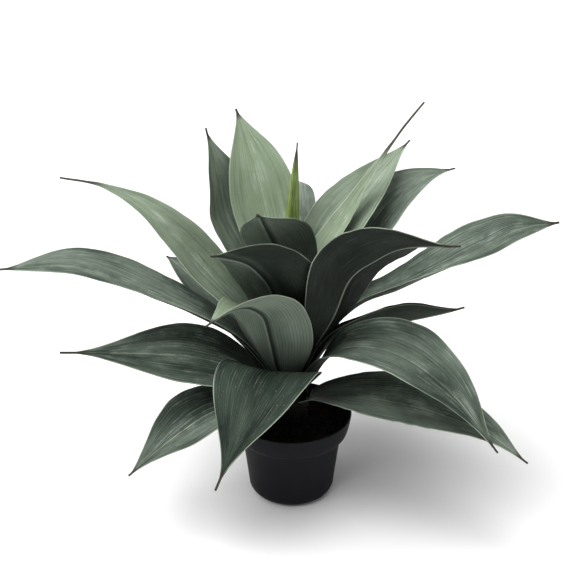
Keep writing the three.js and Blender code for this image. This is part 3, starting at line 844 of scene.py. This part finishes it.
def leaf_skin(name):
    """Waxy skin: both faces, with painted shade towards the base, a pale margin and a dark narrow tip."""
    material, tree, shader, _ = surface(name)
    skin = read_leaf(tree)
    below = span(tree, skin.upper, 0.25, 0.45, to=(1.0, 0.0))
    colour = blend_colour(tree, below, upper_colour(tree, skin), underside_colour(tree, skin))
    # Painted shade: each blade is darkened towards its base, deep in the rosette.
    base_shade = span(tree, skin.along, 0.0, 0.42, to=(0.7, 0.0))
    colour = blend_colour(tree, base_shade, colour, BASE_SHADE_COLOUR)
    from_edge = times(tree, maths(tree, "SUBTRACT", 1.0, skin.away), skin.half_width)
    margin = times(tree, span(tree, from_edge, 0.3, 1.0, to=(0.85, 0.0)),
                   span(tree, skin.patch, 0.38, 0.6, to=(0.35, 1.0)),
                   span(tree, skin.along, 0.1, 0.4, to=(0.3, 1.0)))
    colour = blend_colour(tree, margin, colour, MARGIN_COLOUR)
    tip = times(tree, span(tree, skin.half_width, 1.6, 5.0, to=(0.9, 0.0)),
                span(tree, skin.along, 0.45, 0.6))
    colour = blend_colour(tree, tip, colour, TIP_COLOUR)
    tree.links.new(colour, shader.inputs["Base Color"])
    tree.links.new(span(tree, skin.cloud, 0.3, 0.75, to=(0.44, 0.62)), shader.inputs["Roughness"])
    shader.inputs["Specular IOR Level"].default_value = LEAF_SHEEN
    relief = bump(tree, skin.thread, distance=0.22 * MM, strength=0.35)
    ribs = span(tree, skin.groove, 0.0, 0.5)
    relief = bump(tree, ribs, distance=0.5 * MM, strength=times(tree, skin.ribbed, 0.45), under=relief)
    relief = bump(tree, skin.streak, distance=0.6 * MM, strength=0.5, under=relief)
    tree.links.new(relief, shader.inputs["Normal"])
    return material


low_skin = leaf_skin("leaf_skin_low")
high_skin = leaf_skin("leaf_skin_high")
for order, entry in enumerate(LEAVES, 1):
    is_high = order >= LOWEST_HIGH_LEAF
    own_skin = high_skin if is_high else low_skin
    leaf_name = f"leaf_{order:02d}"
    blade_piece = leaf_mesh(f"blade_{order:02d}", {**COMMON, **entry}, order, own_skin)
    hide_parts(leaf_name)
    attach(blade_piece, "root")

# Spear
# The youngest leaf is still rolled into a tight cone in the middle of the rosette. It is yellow-green,
# lined along its length, with the free edge of the roll down one side and a dark purple tip.

SPEAR_FOOT = STEM_TOP + CLEARANCE
SPEAR_HEIGHT = 201 * MM
SPEAR_FOOT_RADIUS = 6 * MM
SPEAR_WIDEST_RADIUS = 8.5 * MM
SPEAR_WIDEST = 0.4
SPEAR_FULLNESS = 1.9
SPEAR_LEAN = 5 * MM
SPEAR_BEND = 11 * MM
SPEAR_ROWS = 120
SPEAR_SIDES = 72
SPEAR_LIP = 0.4 * MM
SPEAR_LIP_TWIST = 0.35
SPEAR_LIP_FADE = 0.2
SPEAR_RIBS = 18
SPEAR_RIB_RELIEF = 0.12 * MM
SPEAR_RIB_FADE = 0.3
SPEAR_TIP_RADIUS = 0.8 * MM

SPEAR_DARK = (0.12, 0.19, 0.035, 1)
SPEAR_LIGHT = (0.31, 0.40, 0.12, 1)
SPEAR_FOOT_SHADE = (0.06, 0.10, 0.03, 1)
SPEAR_LINE_COLOUR = (0.05, 0.08, 0.02, 1)
SPEAR_LINE_PLACE = 0.72
SPEAR_TIP_COLOUR = (0.036, 0.028, 0.032, 1)
SPEAR_ROUGHNESS = 0.42
SPEAR_SHEEN = 0.4


def spear_skin():
    """Smooth young skin, lined lengthwise, with a darker line up it, painted shade at its foot and a dark
    tip.
    """
    material, tree, shader, place = surface("spear_skin")
    made = node(tree, "ShaderNodeAttribute", {"attribute_name": "spear"})
    around, along, _ = node(tree, "ShaderNodeSeparateXYZ", None, Vector=made.outputs["Vector"]).outputs
    upright = stretched(tree, place, across=1.0, along=1.0, up=0.03)
    lines = noise(tree, upright, scale=900.0, detail=3.0, roughness=0.6)
    colour = blend_colour(tree, span(tree, lines, 0.35, 0.7), SPEAR_DARK, SPEAR_LIGHT)
    # Painted shade: the spear is darkened towards its foot, down in the rosette.
    foot_shade = span(tree, along, 0.15, 0.6, to=(0.35, 0.0))
    colour = blend_colour(tree, foot_shade, colour, SPEAR_FOOT_SHADE)
    from_line = maths(tree, "ABSOLUTE", maths(tree, "SUBTRACT", around, SPEAR_LINE_PLACE))
    colour = blend_colour(tree, span(tree, from_line, 0.0, 0.12, to=(0.6, 0.0)), colour, SPEAR_LINE_COLOUR)
    colour = blend_colour(tree, span(tree, along, 0.84, 0.95), colour, SPEAR_TIP_COLOUR)
    tree.links.new(colour, shader.inputs["Base Color"])
    shader.inputs["Roughness"].default_value = SPEAR_ROUGHNESS
    shader.inputs["Specular IOR Level"].default_value = SPEAR_SHEEN
    tree.links.new(bump(tree, lines, distance=0.3 * MM, strength=0.5), shader.inputs["Normal"])
    return material


def spear_mesh(material):
    """The rolled leaf as a leaning, slightly bowed cone with low ribs and a step where its roll ends."""
    t = np.linspace(0, 1, SPEAR_ROWS + 1)[:, None]
    turn = np.linspace(0, 1, SPEAR_SIDES, endpoint=False)[None, :]
    past = np.clip((t - SPEAR_WIDEST) / (1 - SPEAR_WIDEST), 0, 1)
    low = SPEAR_FOOT_RADIUS + (SPEAR_WIDEST_RADIUS - SPEAR_FOOT_RADIUS) * np.clip(t / SPEAR_WIDEST, 0, 1)
    high = np.maximum(SPEAR_TIP_RADIUS, SPEAR_WIDEST_RADIUS * (1 - past ** SPEAR_FULLNESS))
    lip = (turn + SPEAR_LIP_TWIST * t) % 1.0 * np.clip((1 - t) / SPEAR_LIP_FADE, 0, 1)
    ribs = (1 + np.cos(2 * math.pi * SPEAR_RIBS * turn)) * np.clip((1 - t) / SPEAR_RIB_FADE, 0, 1)
    radius = np.where(t < SPEAR_WIDEST, low, high) - SPEAR_LIP * lip - SPEAR_RIB_RELIEF * ribs
    angle = 2 * math.pi * turn
    x = radius * np.cos(angle) + SPEAR_LEAN * t - SPEAR_BEND * t * (1 - t)
    y = radius * np.sin(angle)
    z = SPEAR_FOOT + SPEAR_HEIGHT * t + 0 * turn
    top = (SPEAR_LEAN, 0, SPEAR_FOOT + SPEAR_HEIGHT)
    points, faces = capped_tube((0, 0, SPEAR_FOOT), np.stack([x, y, z], -1), top)
    piece = mesh_piece("rolled_spear", points, faces, material)
    values = np.zeros((SPEAR_ROWS + 1, SPEAR_SIDES, 3), np.float32)
    values[..., 0] = turn
    values[..., 1] = t
    tell(piece, "spear", np.vstack([[0, 0, 0], values.reshape(-1, 3), [0, 1, 0]]).astype(np.float32))
    return piece


spear_piece = spear_mesh(spear_skin())
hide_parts("spear_leaf")
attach(spear_piece, "root")

# Floor and light
# A plain pale floor under an even white sky, with one broad soft light from the upper left and a
# weaker one overhead. They aren't part of the object.

FLOOR_REACH = 30.0
FLOOR_CORNERS = [(-1, -1), (1, -1), (1, 1), (-1, 1)]
FLOOR_LIGHT = (0.93, 0.93, 0.93, 1)
FLOOR_DARK = (0.88, 0.88, 0.88, 1)
FLOOR_DULLNESS = 0.9
SKY_COLOUR = (1.0, 1.0, 1.0, 1)
SKY_STRENGTH = 0.38
KEY_STRENGTH = 3.5
KEY_SOFTNESS = 60
KEY_FROM = (-0.75, -0.35, 1.6)
TOP_PLACE = (-0.35, 0.35, 1.9)
TOP_TARGET = (0, 0, 0.2)
TOP_SIZE = 1.6
TOP_POWER = 10


def floor_paint():
    """Dull, nearly white paint with a faint mottle."""
    material, tree, shader, place = surface("floor_paint")
    tone = span(tree, noise(tree, place, scale=3.0, detail=2.0), 0.3, 0.7, to=(0.97, 1.0))
    tree.links.new(blend_colour(tree, tone, FLOOR_DARK, FLOOR_LIGHT), shader.inputs["Base Color"])
    shader.inputs["Roughness"].default_value = FLOOR_DULLNESS
    return material


def hang_light(name, kind, place, target=(0, 0, 0)):
    """Hangs a light of a kind at a place, turned to its target, and returns its settings."""
    settings = bpy.data.lights.new(name, kind)
    lamp = bpy.data.objects.new(name, settings)
    bpy.context.scene.collection.objects.link(lamp)
    lamp.location = place
    lamp.rotation_mode = "QUATERNION"
    lamp.rotation_quaternion = (Vector(target) - Vector(place)).to_track_quat("-Z", "Y")
    return settings


floor_points = [(x * FLOOR_REACH, y * FLOOR_REACH, 0) for x, y in FLOOR_CORNERS]
floor = mesh_piece("floor", floor_points, [(0, 1, 2, 3)], floor_paint())
top_light = hang_light("top_light", "AREA", TOP_PLACE, TOP_TARGET)
top_light.shape = "DISK"
top_light.size = TOP_SIZE
top_light.energy = TOP_POWER
key_light = hang_light("key_light", "SUN", KEY_FROM)
key_light.energy = KEY_STRENGTH
key_light.angle = math.radians(KEY_SOFTNESS)
world = bpy.data.worlds.new("studio")
world.use_nodes = True
sky = world.node_tree.nodes["Background"]
sky.inputs["Color"].default_value = SKY_COLOUR
sky.inputs["Strength"].default_value = SKY_STRENGTH
bpy.context.scene.world = world
bpy.context.scene.view_settings.view_transform = "Standard"

# Camera
# It looks down on the plant from the front, a little left of the pot's axis, as the photograph does. How
# far down follows from how high and how wide the pot's rim looks there.

CAMERA_PLACE = (-0.0087, -1.28575, 0.86856)
CAMERA_TILT = 64.28
SENSOR_WIDTH = 36.0
LENS = 87.556

camera_data = bpy.data.cameras.new("camera")
camera_data.sensor_width = SENSOR_WIDTH
camera_data.lens = LENS
camera = bpy.data.objects.new("camera", camera_data)
bpy.context.scene.collection.objects.link(camera)
camera.location = CAMERA_PLACE
camera.rotation_euler = (math.radians(CAMERA_TILT), 0, 0)
bpy.context.scene.camera = camera
bpy.context.view_layer.update()
